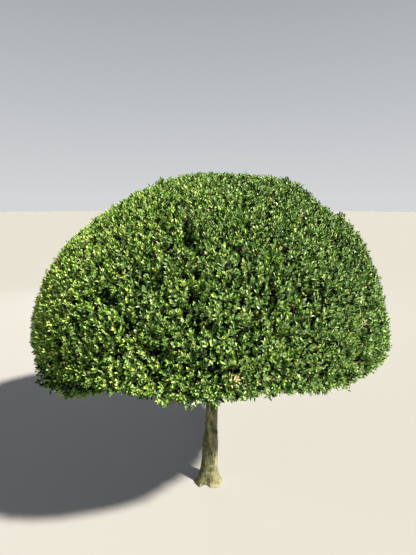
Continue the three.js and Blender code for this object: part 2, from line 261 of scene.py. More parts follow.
def dome_point(azimuth, polar, inset):
    """Points of the dome. Polar is 90 at the widest level and 180 under the lower edge."""
    turn = np.radians(polar)
    s = np.abs(np.sin(turn)) ** (2 / DOME_POWER)
    c = np.abs(np.cos(turn)) ** (2 / DOME_POWER)
    reach = bulge(azimuth, polar) - inset
    low = lower_edge(azimuth) + inset * EDGE_DEPTH
    upper = polar <= 90
    radius = (CROWN_RADIUS + reach) * np.where(upper, s, 1) - np.where(upper, 0, RIM_ROUND * (1 - s))
    height = WIDEST + c * np.where(upper, CROWN_TOP - WIDEST + reach, low - WIDEST)
    return CROWN_AXIS + sideways(azimuth) * radius[..., None] + UP * height[..., None]


def dome_normal(azimuth, polar):
    """The direction straight out of the surface, from points one degree to each side."""
    east = dome_point(azimuth + 1, polar, 0) - dome_point(azimuth - 1, polar, 0)
    down = dome_point(azimuth, polar + 1, 0) - dome_point(azimuth, polar - 1, 0)
    return unit(np.cross(down, east))


def hollow_point(azimuth, polar):
    turn = np.radians(polar)
    out = sideways(azimuth) * (HOLLOW_RADIUS * np.sin(turn))[..., None]
    return CROWN_AXIS + out + UP * (RIM + (HOLLOW_TOP - RIM) * np.cos(turn))[..., None]


ring = np.arange(0.0, 360.0, 5.0)
print("widest ring reaches x =", dome_point(ring, np.full_like(ring, 90), 0)[:, 0].max().round(3))

# %% [markdown]
# ## Masses
# The crown is made of eight masses, each fed by its own limb: seven round the dome and one on top.
# A leaf belongs to the mass whose space its shoot ends in. The side masses are told apart by
# azimuth, and a cone round the axis divides them from the top one.

# %% Which mass a point is in
SIDE_MASSES = 7
FIRST_AZIMUTH = 264
TOP_MASS_ANGLE = math.radians(37)
mass_azimuths = FIRST_AZIMUTH + np.arange(SIDE_MASSES) / SIDE_MASSES * 360.0
MASSES = [f"foliage_side_{i + 1}" for i in range(SIDE_MASSES)] + ["foliage_top"]
BOUGHS = [f"bough_{i + 1}" for i in range(SIDE_MASSES)] + ["leader"]
TOP = SIDE_MASSES


def mass_of(points):
    """The number of the mass that each point is in."""
    away = (points - CROWN_AXIS) @ sideways(mass_azimuths).T
    side = away.argmax(axis=1)
    rise = (points[:, 2] - RIM) * math.sin(TOP_MASS_ANGLE)
    return np.where(rise > away.max(axis=1) * math.cos(TOP_MASS_ANGLE), TOP, side)


print("side masses at azimuths:", mass_azimuths.round().tolist())

# %% [markdown]
# ## Smooth random heights
# Bark, clumps of leaves and patches of colour all vary in lumps of a known size. Adding up waves
# that run in random directions gives that. The seed keeps them the same on every run.

# %% Waves
WAVE_RATES = (0.7, 1.4)


def waves(points, size, seed, count=28):
    """Random heights between about -2 and 2, in lumps of the given size or sizes per axis."""
    random = np.random.default_rng(seed)
    along = unit(random.normal(size=(count, 3))) * random.uniform(*WAVE_RATES, (count, 1))
    phase = random.uniform(0, 2 * np.pi, count)
    angles = (points * (np.pi / np.asarray(size))) @ along.T + phase
    return np.sin(angles).sum(axis=1) * math.sqrt(2 / count)


print("waves at the origin:", waves(np.zeros((1, 3)), 0.05, 1).round(3))

# %% [markdown]
# ## The runs of the limbs
# Every limb is one smooth line from inside the stem, through its bough, to inside its mass. It
# passes through four points, by the same rule as the solids, so bark and solids line up. A
# Catmull-Rom curve does this: its slope at each point comes from the points on either side.

# %% Limb lines
FORK = 0.905
LEAN = (0.034, 0.012)
LEAN_POWER = 0.8
BOUGH_RISES = (0.024, 0.062)
LEADER_RISE = 0.01
BOUGH_RADIUS = 0.017
LEADER_RADIUS = 0.02
BOUGH_TIP_RADIUS = 0.01
BOUGH_LEAVES = (0.095, 0.12)  # out and up
BOUGH_ARCH = (0.62, 0.018)  # share of the way, and up
BOUGH_TARGET = (58.0, 0.03)  # polar angle, and out
STUB_LENGTH = 0.105
BOUGH_END = 0.8
BOUGH_STEPS = 10  # the solids' rings, which set where a stub ends


def stem_middle(z):
    z = np.asarray(z, float)
    share = np.clip(z / FORK, 0, None)
    return np.stack((LEAN[0] * share**LEAN_POWER, LEAN[1] * share, z), axis=-1)


def smooth_line(points, count=241, fine=80):
    """Evenly spaced points on the centripetal Catmull-Rom curve through the given ones."""
    p = [2 * points[0] - points[1], *points, 2 * points[-1] - points[-2]]
    dense = []
    for p0, p1, p2, p3 in zip(p, p[1:], p[2:], p[3:]):
        d0, d1, d2 = (np.linalg.norm(b - a) ** 0.5 for a, b in ((p0, p1), (p1, p2), (p2, p3)))
        slope1 = ((p1 - p0) / d0 - (p2 - p0) / (d0 + d1) + (p2 - p1) / d1) * d1
        slope2 = ((p2 - p1) / d1 - (p3 - p1) / (d1 + d2) + (p3 - p2) / d2) * d1
        t = np.linspace(0, 1, fine, endpoint=False)[:, None]
        bend = -3 * p1 + 3 * p2 - 2 * slope1 - slope2
        dense.append(p1 + slope1 * t + bend * t**2 + (2 * p1 - 2 * p2 + slope1 + slope2) * t**3)
    dense = np.vstack([*dense, points[-1]])
    steps = np.linalg.norm(np.diff(dense, axis=0), axis=1)
    length = np.concatenate(([0], steps.cumsum()))
    even = np.linspace(0, length[-1], count)
    return np.stack([np.interp(even, length, dense[:, axis]) for axis in range(3)], axis=1)


def limb_line(i):
    """One limb's line, its radii, and the share of the line where its stub ends."""
    if i == TOP:
        rise, radius, out = LEADER_RISE, LEADER_RADIUS, np.zeros(3)
        end = hollow_point(0.0, 0.0) + UP * BOUGH_TARGET[1]
    else:
        rise, radius, out = BOUGH_RISES[i % 2], BOUGH_RADIUS, sideways(mass_azimuths[i])
        end = hollow_point(mass_azimuths[i], BOUGH_TARGET[0]) + out * BOUGH_TARGET[1]
    start = stem_middle(FORK - rise)
    first = start + out * BOUGH_LEAVES[0] + UP * BOUGH_LEAVES[1]
    second = start + (end - start) * BOUGH_ARCH[0] + UP * BOUGH_ARCH[1]
    line = smooth_line([start, first, second, end])
    length = np.linalg.norm(np.diff(line, axis=0), axis=1).sum()
    taper = np.clip(np.linspace(0, 1, len(line)) / BOUGH_END, 0, 1)
    stub = max(2, round(STUB_LENGTH / length * BOUGH_STEPS)) / BOUGH_STEPS
    return line, radius + (BOUGH_TIP_RADIUS - radius) * taper, stub


limb_lines = [limb_line(i) for i in range(len(BOUGHS))]
print("bough ends:", [line[-1].round(2).tolist() for line, _, _ in limb_lines[:2]], "...")

# %% [markdown]
# ## Bark as a mesh
# Bark on a young stem is nearly smooth, with fine upright cracks, slight swellings and the scars of
# lost shoots. Bump in a material can't change an outline, so this relief goes into the mesh. A limb
# is lofted as rings along its line, and then each vertex moves along its normal by the relief there.

# %% Tubes and relief
def tube(line, radii, sides):
    """Vertices and faces of a closed tube round a line, with flat ends."""
    along = unit(np.gradient(line, axis=0))
    side = np.array((1.0, 0.0, 0.0))
    rings = []
    for place, direction, radius in zip(line, along, radii):
        side = unit(side - direction * (side @ direction))
        other = np.cross(direction, side)
        turn = np.arange(sides) / sides * 2 * np.pi
        spokes = np.outer(np.cos(turn), side) + np.outer(np.sin(turn), other)
        rings.append(place + spokes * radius)
    vertices = np.vstack(rings)
    faces = [tuple(range(sides))[::-1], tuple(range(len(vertices) - sides, len(vertices)))]
    for row in range(len(line) - 1):
        a = row * sides + np.arange(sides)
        b = row * sides + (np.arange(sides) + 1) % sides
        faces += np.stack((a, b, b + sides, a + sides), axis=1).tolist()
    return vertices, faces


def mesh_of(name, parts):
    """One mesh from several lists of vertices and faces."""
    vertices, faces, first = [], [], 0
    for some, theirs in parts:
        vertices.append(some)
        faces += [[first + corner for corner in face] for face in theirs]
        first += len(some)
    mesh = bpy.data.meshes.new(name)
    mesh.from_pydata(np.vstack(vertices).tolist(), [], faces)
    return mesh


CRACK_SIZE = (0.006, 0.006, 0.045)  # cracks are narrow and upright
SWELLING_SIZE = (0.03, 0.03, 0.06)
GRAIN_SIZE = 0.004
CRACK_DEPTH = 0.0007
CRACK_SHARPNESS = 1.5
SWELLING_DEPTH = 0.0011
GRAIN_DEPTH = 0.00022
RIDGE_SIZE = (0.022, 0.022, 0.07)
RIDGE_DEPTH = 0.0062
RIDGE_HEIGHT = 0.038  # ridges run up from the ground and fade out


def add_relief(mesh, seed, share=1.0):
    """Moves each vertex along its normal by the bark's relief."""
    places = np.array([vertex.co for vertex in mesh.vertices])
    normals = np.array([normal.vector for normal in mesh.vertex_normals])
    relief = -CRACK_DEPTH * np.clip(waves(places, CRACK_SIZE, seed), 0, None) ** CRACK_SHARPNESS
    relief += SWELLING_DEPTH * waves(places, SWELLING_SIZE, seed + 1) / 2
    relief += GRAIN_DEPTH * waves(places, GRAIN_SIZE, seed + 2)
    ridges = waves(places, RIDGE_SIZE, seed + 3) * np.exp(-np.clip(places[:, 2], 0, None) / RIDGE_HEIGHT)
    relief += RIDGE_DEPTH * ridges / 2
    moved = places + normals * (relief * share)[:, None]
    mesh.vertices.foreach_set("co", moved.astype(np.float32).ravel())
    mesh.update()


print("cracks", CRACK_DEPTH * 1000, "mm deep")

# %% [markdown]
# ## The stem
# The stem flares into root lobes at the ground, with a dark hollow between two of them at the front,
# and it is thicker below an old step, a little under 0.3 m up. At the fork the boughs leave it
# with swollen collars. The stem and its stubs are overlapping tubes, and a fine voxel remesh melts
# them into one skin, as wood grows. The relief goes on last.

# %% Build the stem
STEM_RADIUS = 0.033
BUTT_EXTRA = 0.0095
BUTT_Z = 0.272
BUTT_BLEND = 0.055
FLARE_EXTRA = 0.027
FLARE_HEIGHT = 0.046
FORK_SWELL = 0.007
FORK_SWELL_HEIGHT = 0.09
FORK_CROWN = 0.012
FORK_TAPER = 0.75  # how much the rounded top narrows for its height
ROOT_LOBES = (  # azimuth, millimetres out, width
    (200, 13, 26), (318, 12, 30), (75, 10, 34), (258, -12, 20), (20, 5, 26),
)
STEM_SIDES = 72
LIMB_SKIN_SIDES = 24
STEM_ROWS = 260
BURIED = 0.02  # the stem is drawn on into the ground, then cut level
HOLLOW_BETWEEN_ROOTS = (256, 0.02, 11, 0.04)  # azimuth, depth, width, height
VOXEL = 0.0038
MELT_ROUNDS = 4
SCARS = (  # height, azimuth, millimetres out
    (0.43, 300, 4.5), (0.36, 215, 3.5), (0.268, 285, 4.5), (0.3, 340, 5), (0.17, 240, 4), (0.52, 60, 5),
)
SCAR_SIZE = (13, 0.01)  # width in degrees, and height


def smooth_step(value, low, high):
    share = np.clip((value - low) / (high - low), 0, 1)
    return share * share * (3 - 2 * share)


def stem_radius(z, azimuth):
    butt = BUTT_EXTRA * (1 - smooth_step(z, BUTT_Z - BUTT_BLEND, BUTT_Z + BUTT_BLEND))
    fork = FORK_SWELL * smooth_step(z, FORK - FORK_SWELL_HEIGHT, FORK)
    lobes = sum(out / 1000 * hump(azimuth, a, width) for a, out, width in ROOT_LOBES)
    scars = sum(
        size / 1000 * hump(azimuth, a, SCAR_SIZE[0]) * math.exp(-0.5 * ((z - at) / SCAR_SIZE[1]) ** 2)
        for at, a, size in SCARS
    )
    a, depth, width, height = HOLLOW_BETWEEN_ROOTS
    hollow = depth * hump(azimuth, a, width) * math.exp(-((max(z, 0) / height) ** 2))
    flare = (FLARE_EXTRA + lobes) * math.exp(-max(z, 0) / FLARE_HEIGHT)
    return STEM_RADIUS + butt + fork + scars + flare - hollow


def stem_parts():
    heights = np.append(np.linspace(-BURIED, FORK, STEM_ROWS), FORK + FORK_CROWN)
    azimuths = np.arange(STEM_SIDES) / STEM_SIDES * 360
    rings = [
        stem_middle(z) + sideways(azimuths) * stem_radius(min(z, FORK), azimuths)[:, None]
        for z in heights[:-1]
    ]
    top = stem_middle(heights[-1]) + sideways(azimuths) * (STEM_RADIUS - FORK_CROWN * FORK_TAPER)
    _, faces = tube(stem_middle(heights), np.ones(len(heights)), STEM_SIDES)
    parts = [(np.vstack([*rings, top]), faces)]
    for line, radii, stub in limb_lines:
        last = round(stub * (len(line) - 1)) + 1
        parts.append(tube(line[:last:4], radii[:last:4], LIMB_SKIN_SIDES))
    return parts


def plain_mesh(made, name):
    """The mesh that an object's modifiers make."""
    graph = bpy.context.evaluated_depsgraph_get()
    mesh = bpy.data.meshes.new_from_object(made.evaluated_get(graph))
    mesh.name = name
    return mesh


def melted(name, parts):
    """One smooth skin round overlapping tubes."""
    rough = add_object(name, mesh_of(name, parts))
    remesh = rough.modifiers.new("melt", "REMESH")
    remesh.mode = "VOXEL"
    remesh.voxel_size = VOXEL
    rough.modifiers.new("relax", "SMOOTH").iterations = MELT_ROUNDS
    skin = plain_mesh(rough, name)
    bpy.data.objects.remove(rough)
    return skin


stem_skin = melted("trunk_bark", stem_parts())
add_relief(stem_skin, seed=21)

# Cut it level at the ground and close its foot.
work = bmesh.new()
work.from_mesh(stem_skin)
whole = [*work.verts, *work.edges, *work.faces]
cut = bmesh.ops.bisect_plane(work, geom=whole, plane_no=(0, 0, -1), clear_outer=True)
rim = [part for part in cut["geom_cut"] if isinstance(part, bmesh.types.BMEdge)]
bmesh.ops.holes_fill(work, edges=rim)
work.to_mesh(stem_skin)
work.free()
trunk = add_object("trunk_bark", stem_skin)
print("stem:", len(stem_skin.polygons), "faces")

# %% [markdown]
# ## The boughs
# Each bough starts a little inside its stub, so no gap shows, and runs on past the end of its solid
# into the mass, where the next limbs take over.

# %% Build the boughs
BOUGH_OVERLAP = 3  # points of the line
BOUGH_RELIEF = 0.8  # share of the stem's

boughs = []
for name, (line, radii, stub) in zip(BOUGHS, limb_lines):
    first = round(stub * (len(line) - 1)) - BOUGH_OVERLAP
    last = round(BOUGH_END * (len(line) - 1)) + BOUGH_OVERLAP
    mesh = mesh_of(name, [tube(line[first:last:2], radii[first:last:2], LIMB_SKIN_SIDES)])
    add_relief(mesh, seed=21, share=BOUGH_RELIEF)
    boughs.append(add_object(f"{name}_bark", mesh))
print("boughs:", len(boughs))

# %% [markdown]
# ## Where shoots end
# Clipping makes a shrub branch again and again, until thousands of short shoots end at the shears'
# height. Points set by the golden angle cover the dome evenly with no rows, and a little scatter
# hides the spiral. More shoots go round and under the lower edge, and some end deeper inside, in
# the shade. Waves push groups of tips in and out, which makes the clumps and dark gaps. The shoots
# that the shears missed and the dark pockets in the picture are listed with their places.

# %% Place the shoots
DOME_SHOOTS = 13400
EDGE_SHOOTS = 2600
INNER_SHOOTS = 7500
HANG_SHOOTS = 380  # inside the part of the edge that hangs lowest
HANG_POLARS = (95, 165)
INNER_LOWEST = 98  # polar angle
INNER_CROWD = 0.94
EDGE_CROWD = 0.8  # below 1 it brings more shoots under the edge
PLACE_SCATTER = 0.5  # degrees
TIP_LEAVES = 0.009  # the last leaves reach past the shoot's end
CLIP_SCATTER = 0.02
LOW_SHARE = 0.6  # shoots end nearer the surface below the widest level
CLUMP_SIZE = 0.03
CLUMP_DEPTH = 0.012
HOLLOW_SIZE = 0.085
HOLLOW_DEPTH = 0.007
HOLLOW_START = 0.4  # hollows are where the waves are higher than this
INNER_DEPTH = (0.035, 0.165)
OUTWARD_SHARE = 0.5  # every shoot points at least this much out of the surface
UPWARD_SHARE = 0.75  # and most of them turn up towards the light
LOW_UPWARD_SHARE = 0.12
AIM_SCATTER = 0.32
EDGE_RAGGED = 0.007  # groups of shoots stand out of the lower edge or fall short
RAGGED_FROM, LOW_FROM, LAST_NORMAL = 100, 110, 175  # polar angles
BOX_MARGIN = 0.003  # inside the box of the solids
TUFT = (358.0, 29.0)  # azimuth and polar angle of the tuft that the shears missed
TUFT_WIDTHS = (9, 5)
TUFT_SCATTER = 0.012
LOOSE_SHARE = 0.035
LOOSE_REACH = (0.003, 0.013)
STRAYS = (  # azimuth, polar, millimetres out, width. One below 0 falls short
    (338, 49, 15, 6), (218, 88, 10, 5), (217, 132, 17, 9), (271, 138, -26, 7), (216, 22, 8, 6),
    (210, 80, 18, 0.9), (216, 86, 16, 0.8), (218, 128, 30, 1.6), (222, 110, 18, 1), (242, 113, 26, 1.1),
    (253, 127, 24, 1), (287, 118, 20, 1.1), (290, 104, 20, 1), (294, 119, 24, 1.1), (304, 128, 22, 1.2),
    (308, 101, 22, 1), (320, 119, 22, 1.1), (330, 80, 14, 0.9), (335, 53, 14, 1.2), (341, 44, 16, 1.4),
    (341, 30, 18, 1.4), (310, 19, 16, 1.8), (220, 19, 18, 1.6), (204, 54, 16, 1.2),
)
POCKETS = (  # the same for the pockets
    (310, 87, -64, 1.2), (296, 88, -52, 1.1), (296, 66, -60, 1.2), (290, 70, -38, 0.9), (284, 66, -45, 1),
    (291, 76, -38, 1), (262, 48, -64, 1.6), (256, 51, -52, 1.2), (252, 45, -45, 1.1), (255, 62, -45, 1),
    (258, 66, -41, 0.9), (265, 65, -52, 1), (266, 71, -45, 1.4), (280, 68, -49, 1), (278, 61, -45, 0.9),
    (277, 73, -52, 1.3), (230, 52, -49, 1.2), (240, 66, -41, 1.2), (243, 68, -45, 1.1), (258, 80, -60, 1.3),
    (248, 80, -45, 1.1), (250, 74, -38, 1), (229, 87, -45, 1.2),
)


def spiral(count, lowest, crowd=1.0):
    """Even azimuths and polar angles down to the lowest angle. Crowd below 1 brings more of them low."""
    i = np.arange(count) + 0.5
    drop = 1 - math.cos(math.radians(lowest))
    return i * GOLDEN_TURN % 360, np.degrees(np.arccos(1 - (i / count) ** crowd * drop))


def place_shoots(random):
    """Azimuth, polar angle and inset of every shoot."""
    azimuth, polar = spiral(DOME_SHOOTS, 90)
    inner_azimuth, inner_polar = spiral(INNER_SHOOTS, INNER_LOWEST, INNER_CROWD)
    hang_azimuth = random.normal(HANGS[0][0], HANGS[0][2], HANG_SHOOTS)
    hang_polar = random.uniform(*HANG_POLARS, HANG_SHOOTS)
    edge_azimuth = np.arange(EDGE_SHOOTS) * GOLDEN_TURN % 360
    edge_polar = 90 + 90 * random.random(EDGE_SHOOTS) ** EDGE_CROWD
    azimuth = np.concatenate((azimuth, edge_azimuth, inner_azimuth, hang_azimuth))
    polar = np.concatenate((polar, edge_polar, inner_polar, hang_polar))
    azimuth += random.normal(0, PLACE_SCATTER, len(polar)) / np.maximum(0.05, np.sin(np.radians(polar)))
    polar = np.abs(polar + random.normal(0, PLACE_SCATTER, len(polar)))
    surface = dome_point(azimuth, polar, 0)
    clumps = CLUMP_DEPTH * np.clip(waves(surface, CLUMP_SIZE, 5), 0, None)
    hollows = HOLLOW_DEPTH * np.clip(waves(surface, HOLLOW_SIZE, 6) - HOLLOW_START, 0, None)
    inset = TIP_LEAVES + CLIP_SCATTER * random.random(len(polar)) + clumps + hollows
    inset[polar > 90] *= LOW_SHARE
    loose = random.random(len(polar)) < LOOSE_SHARE
    inset[loose] -= random.uniform(*LOOSE_REACH, loose.sum())
    inset -= bulge(azimuth, polar, STRAYS + POCKETS) / 1000
    near_tuft = hump(azimuth, TUFT[0], TUFT_WIDTHS[0]) * hump(polar, TUFT[1], TUFT_WIDTHS[1])
    inset -= TUFT_SCATTER * near_tuft * random.random(len(polar))
    inner = slice(DOME_SHOOTS + EDGE_SHOOTS, None)
    inset[inner] += random.uniform(*INNER_DEPTH, INNER_SHOOTS + HANG_SHOOTS)
    return azimuth, polar, inset


shoot_random = np.random.default_rng(7)
shoot_azimuth, shoot_polar, shoot_inset = place_shoots(shoot_random)
shoot_tips = dome_point(shoot_azimuth, shoot_polar, shoot_inset)
ragged = EDGE_RAGGED * waves(shoot_tips, CLUMP_SIZE, 13) * (shoot_polar > RAGGED_FROM)
shoot_tips = np.clip(shoot_tips + UP * ragged[:, None], cad_low + BOX_MARGIN, cad_high - BOX_MARGIN)
outwards = dome_normal(shoot_azimuth, np.minimum(shoot_polar, LAST_NORMAL))
upwards = np.where(shoot_polar > LOW_FROM, LOW_UPWARD_SHARE, UPWARD_SHARE)[:, None] * UP
shoot_aims = unit(outwards + upwards + shoot_random.normal(0, AIM_SCATTER, outwards.shape))
turned_in = np.clip(OUTWARD_SHARE - (shoot_aims * outwards).sum(axis=1, keepdims=True), 0, None)
shoot_aims = unit(shoot_aims + outwards * turned_in)
is_inner = np.arange(len(shoot_tips)) >= DOME_SHOOTS + EDGE_SHOOTS
shoot_mass = mass_of(shoot_tips)
print("shoots:", len(shoot_tips), "by mass:", np.bincount(shoot_mass).tolist())

# %% [markdown]
# ## Branching
# Three orders lie between a bough and its shoots: limbs, branchlets and twigs. Working back from
# the leaves gives a natural tree: shoots that end close together share a twig, twigs share a
# branchlet, and branchlets share a limb. Each one leaves its parent along the parent's own
# direction and then bends towards its end, which one quadratic Bezier curve gives.

# %% Grow limbs back from the shoots
ORDERS = (  # number, depth of the ends, where on the parent they start, seed
    (46, 0.255, (0.5, 1.0), 31),
    (230, 0.165, (0.45, 1.0), 32),
    (1250, 0.088, (0.5, 1.0), 33),
)
SHOOT_STARTS = (0.55, 1.0)
INNER_STARTS = (0.0, 0.5)
LOWEST_TWIG = 99
LEAFY_PART = 0.06  # the straight last part of a shoot
FOLLOW = 0.4  # the share of its reach on which a limb follows its parent
DEPTH_SCATTER = (0.85, 1.15)


def bezier(a, b, c, t):
    return a * (1 - t) ** 2 + 2 * b * t * (1 - t) + c * t**2


def nearest(points, centres):
    """For each point, the number of the closest centre."""
    return ((points[:, None, :] - centres[None, :, :]) ** 2).sum(axis=2).argmin(axis=1)


def grow(parents, ends, starts, random):
    """Curves to the ends from somewhere on their nearest parents, as three control points."""
    belongs = nearest(ends, parents[2])
    a, b, c = (control[belongs] for control in parents)
    t = random.uniform(*starts, (len(ends), 1))
    start = bezier(a, b, c, t)
    slope = unit((b - a) * (1 - t) + (c - b) * t)
    reach = np.linalg.norm(ends - start, axis=1, keepdims=True)
    return start, start + slope * reach * FOLLOW, ends


order_ends = []
for count, inset, _, seed in ORDERS:
    azimuth, polar = spiral(count, LOWEST_TWIG)
    scatter = np.random.default_rng(seed).uniform(*DEPTH_SCATTER, count)
    order_ends.append(dome_point(azimuth, polar, inset * scatter))


def branches_of(mass):
    """Control points of every order of limb in one mass, from its own stem to its shoots."""
    random = np.random.default_rng(40 + mass)
    line = limb_lines[mass][0]
    first = round(BOUGH_END * (len(line) - 1))
    curves = [tuple(line[i][None] for i in (first, (first + len(line)) // 2, -1))]
    for (_, _, starts, _), ends in zip(ORDERS, order_ends):
        curves.append(grow(curves[-1], ends[mass_of(ends) == mass], starts, random))
    mine = shoot_mass == mass
    tips = shoot_tips[mine]
    outer, _, _ = grow(curves[-1], tips, SHOOT_STARTS, random)
    inner, _, _ = grow(curves[-1], tips, INNER_STARTS, random)
    start = np.where(is_inner[mine][:, None], inner, outer)
    knee = tips - shoot_aims[mine] * LEAFY_PART
    knee = np.clip(knee, cad_low + BOX_MARGIN, cad_high - BOX_MARGIN)
    return *curves, np.stack((start, knee, tips), axis=1)


branches = [branches_of(mass) for mass in range(len(MASSES))]
print("limbs, branchlets and twigs:", [len(ends) for ends in order_ends])

# %% [markdown]
# ## Twigs as tubes
# A twig is a round stick along a line, so Geometry Nodes can make thousands at once. The lines go in
# as bare edges whose points carry a thickness. The tree turns them into curves and sweeps a small
# ring along each. Twigs get three sides and limbs seven, as named inputs.

# %% The tube tree
def new_tree(name, **inputs):
    """A Geometry Nodes tree with more named inputs beside the geometry, and its input sockets."""
    tree = bpy.data.node_groups.new(name, "GeometryNodeTree")
    for socket, kind in {"Geometry": "Geometry", **inputs}.items():
        tree.interface.new_socket(socket, in_out="INPUT", socket_type=f"NodeSocket{kind}")
    tree.interface.new_socket("Geometry", in_out="OUTPUT", socket_type="NodeSocketGeometry")
    return tree, add_node(tree, "NodeGroupInput").outputs


def data_mesh(name, places, edges, **columns):
    """A mesh of points and bare edges. The points carry the columns' numbers."""
    mesh = bpy.data.meshes.new(name)
    mesh.from_pydata(places.tolist(), edges, [])
    for column, values in columns.items():
        kind = "FLOAT_VECTOR" if values.ndim == 2 else "INT" if values.dtype == np.int32 else "FLOAT"
        field = "vector" if values.ndim == 2 else "value"
        mesh.attributes.new(column, kind, "POINT")
        mesh.attributes[column].data.foreach_set(field, values.ravel())
    return mesh


def edge_mesh(name, orders):
    """A mesh of bare edges. Each order has rows of points and the radii of its first and last."""
    places, radii, edges, first = [], [], [], 0
    for points, ends in orders:
        places.append(points.reshape(-1, 3))
        radii.append(np.tile(np.linspace(*ends, points.shape[1]), len(points)))
        index = first + np.arange(len(places[-1])).reshape(points.shape[:2])
        edges.append(np.stack((index[:, :-1], index[:, 1:]), axis=2).reshape(-1, 2))
        first += index.size
    edges = np.vstack(edges).tolist()
    return data_mesh(name, np.vstack(places), edges, thickness=np.concatenate(radii))


def baked(name, mesh, tree, **inputs):
    """The plain mesh that a Geometry Nodes tree makes from a mesh, as a new object."""
    made = add_object(name, mesh)
    nodes = made.modifiers.new("nodes", "NODES")
    nodes.node_group = tree
    sockets = {s.name: s.identifier for s in tree.interface.items_tree if s.in_out == "INPUT"}
    for socket, value in inputs.items():
        nodes[sockets[socket]] = value
    made.data = plain_mesh(made, name)
    made.modifiers.clear()
    bpy.data.meshes.remove(mesh)
    return made


tubes, given = new_tree("tubes along edges", Sides="Int", Bark="Material")
thick = add_node(tubes, "GeometryNodeInputNamedAttribute", {"Name": "thickness"}, data_type="FLOAT")
curves = add_node(tubes, "GeometryNodeMeshToCurve", {"Mesh": given["Geometry"]})
circle = {"Resolution": given["Sides"], "Radius": 1.0}
ring = add_node(tubes, "GeometryNodeCurvePrimitiveCircle", circle)
sweep = {"Curve": curves, "Profile Curve": ring, "Scale": thick, "Fill Caps": True}
swept = add_node(tubes, "GeometryNodeCurveToMesh", sweep)
real = add_node(tubes, "GeometryNodeRealizeInstances", {"Geometry": swept})
dressed = add_node(tubes, "GeometryNodeSetMaterial", {"Geometry": real, "Material": given["Bark"]})
add_node(tubes, "NodeGroupOutput", {"Geometry": dressed})
print("nodes in the tube tree:", len(tubes.nodes))

# %% [markdown]
# ## Bark finishes
# The stem's bark is thin, olive grey-brown periderm with darker cracks. Green algae grow on the left
# side, where their dark colour is partly painted shade, and pale crusts of lichen grow low down, with more
# on the right side as painted sunlight.
# Noise on Object coordinates, which are metres here, gives each its real size: streaks 12 mm wide
# and about four times as long, green patches of 36 mm and crusts of 18 mm. Bark is dry and rough,
# so it has no clear shine. Young twigs are smoother, and turn from green to red-brown as they age.

# %% Bark materials
BARK_COLOURS = ((0.36, "#282819"), (0.45, "#656645"), (0.54, "#858360"), (0.64, "#9d977a"))

bark = new_material("olive periderm bark", {"Roughness": 0.88, "Specular IOR Level": 0.3})
tree = bark.node_tree
place = add_node(tree, "ShaderNodeTexCoord").outputs["Object"]
upright = add_node(tree, "ShaderNodeMapping", {"Vector": place, "Scale": (1, 1, 0.26)})
long_grain = {"Vector": upright, "Scale": 1 / 0.012, "Detail": 6.0, "Roughness": 0.6}
streaks = add_node(tree, "ShaderNodeTexNoise", long_grain)
wood = add_node(tree, "ShaderNodeValToRGB", {"Fac": streaks})
for position, shade in BARK_COLOURS:
    wood.color_ramp.elements.new(position).color = linear(shade)
wood.color_ramp.elements.remove(wood.color_ramp.elements[0])
wood.color_ramp.elements.remove(wood.color_ramp.elements[-1])
height = add_node(tree, "ShaderNodeSeparateXYZ", {"Vector": place}).outputs
algae_and_shade = {"Value": height["X"], "From Min": 0.01, "From Max": -0.04, "To Max": 0.2}
low = {"Value": height["Z"], "From Min": 0.02, "From Max": 0.4, "To Min": 0.07, "To Max": -0.01}
painted_sunlight = {"Value": height["X"], "From Min": -0.03, "From Max": 0.05, "To Max": 0.1}
patches = {"Vector": upright, "Scale": 1 / 0.036, "Detail": 3.0}
crusts = {"Vector": place, "Scale": 1 / 0.018, "Detail": 5.0, "Roughness": 0.7}
covers = (  # colour, pattern, where it goes, and how much of the pattern it takes
    # dark algae on the left, -X side: partly real algae, partly painted shade
    ("#373e1f", patches, (algae_and_shade,), {"From Min": 0.46, "From Max": 0.58, "To Max": 0.85}),
    # pale crusts: real low down, and more of them on the right, +X side as painted sunlight
    ("#827e60", crusts, (low, painted_sunlight), {"From Min": 0.58, "From Max": 0.66, "To Max": 0.65}),
)
# The colours of a Mix node go in at 6 and 7 and come out at 2.
colour = wood.outputs["Color"]
for shade, pattern, places, taken in covers:
    amount = add_node(tree, "ShaderNodeTexNoise", pattern)
    for where in places:
        more = add_node(tree, "ShaderNodeMapRange", where)
        amount = add_node(tree, "ShaderNodeMath", {0: amount, 1: more}, operation="ADD")
    amount = add_node(tree, "ShaderNodeMapRange", {"Value": amount, **taken})
    mixed = {"Factor": amount, 6: colour, 7: linear(shade)}
    colour = add_node(tree, "ShaderNodeMix", mixed, data_type="RGBA").outputs[2]
bump = add_node(tree, "ShaderNodeBump", {"Height": streaks, "Strength": 0.55, "Distance": 0.002})
fill(tree.nodes["Principled BSDF"], {"Base Color": colour, "Normal": bump})
print("nodes in the stem's bark:", len(tree.nodes))

young_bark = new_material("young green-brown bark", {"Roughness": 0.75})
tree = young_bark.node_tree
place = add_node(tree, "ShaderNodeTexCoord").outputs["Object"]
age = add_node(tree, "ShaderNodeTexNoise", {"Vector": place, "Scale": 1 / 0.025, "Detail": 3.0})
mixed = {"Factor": age, 6: linear("#3f4a22"), 7: linear("#6e5636")}
colour = add_node(tree, "ShaderNodeMix", mixed, data_type="RGBA").outputs[2]
fill(tree.nodes["Principled BSDF"], {"Base Color": colour})
print("nodes in the twigs' bark:", len(tree.nodes))

# %% [markdown]
# ## Build the limbs and twigs of each mass
# In most plants a limb is about twice as thick as the ones that it carries. The radii follow that
# from order to order, and each tube tapers on its way.

# %% Limb and twig pieces
LIMB_RADII = ((0.01, 0.0088), (0.0078, 0.0046), (0.0044, 0.0027))  # first and last of each order
LIMB_STEPS = (10, 10, 5)
TWIG_RADII = ((0.0025, 0.0015), (0.0012, 0.0007))
TWIG_STEPS = 4
LIMB_SIDES, TWIG_SIDES = 7, 3


def along_curve(controls, steps):
    """Points along Bezier curves, one row of points for each curve."""
    a, b, c = (control[:, None, :] for control in controls)
    return bezier(a, b, c, np.linspace(0, 1, steps + 1)[None, :, None])


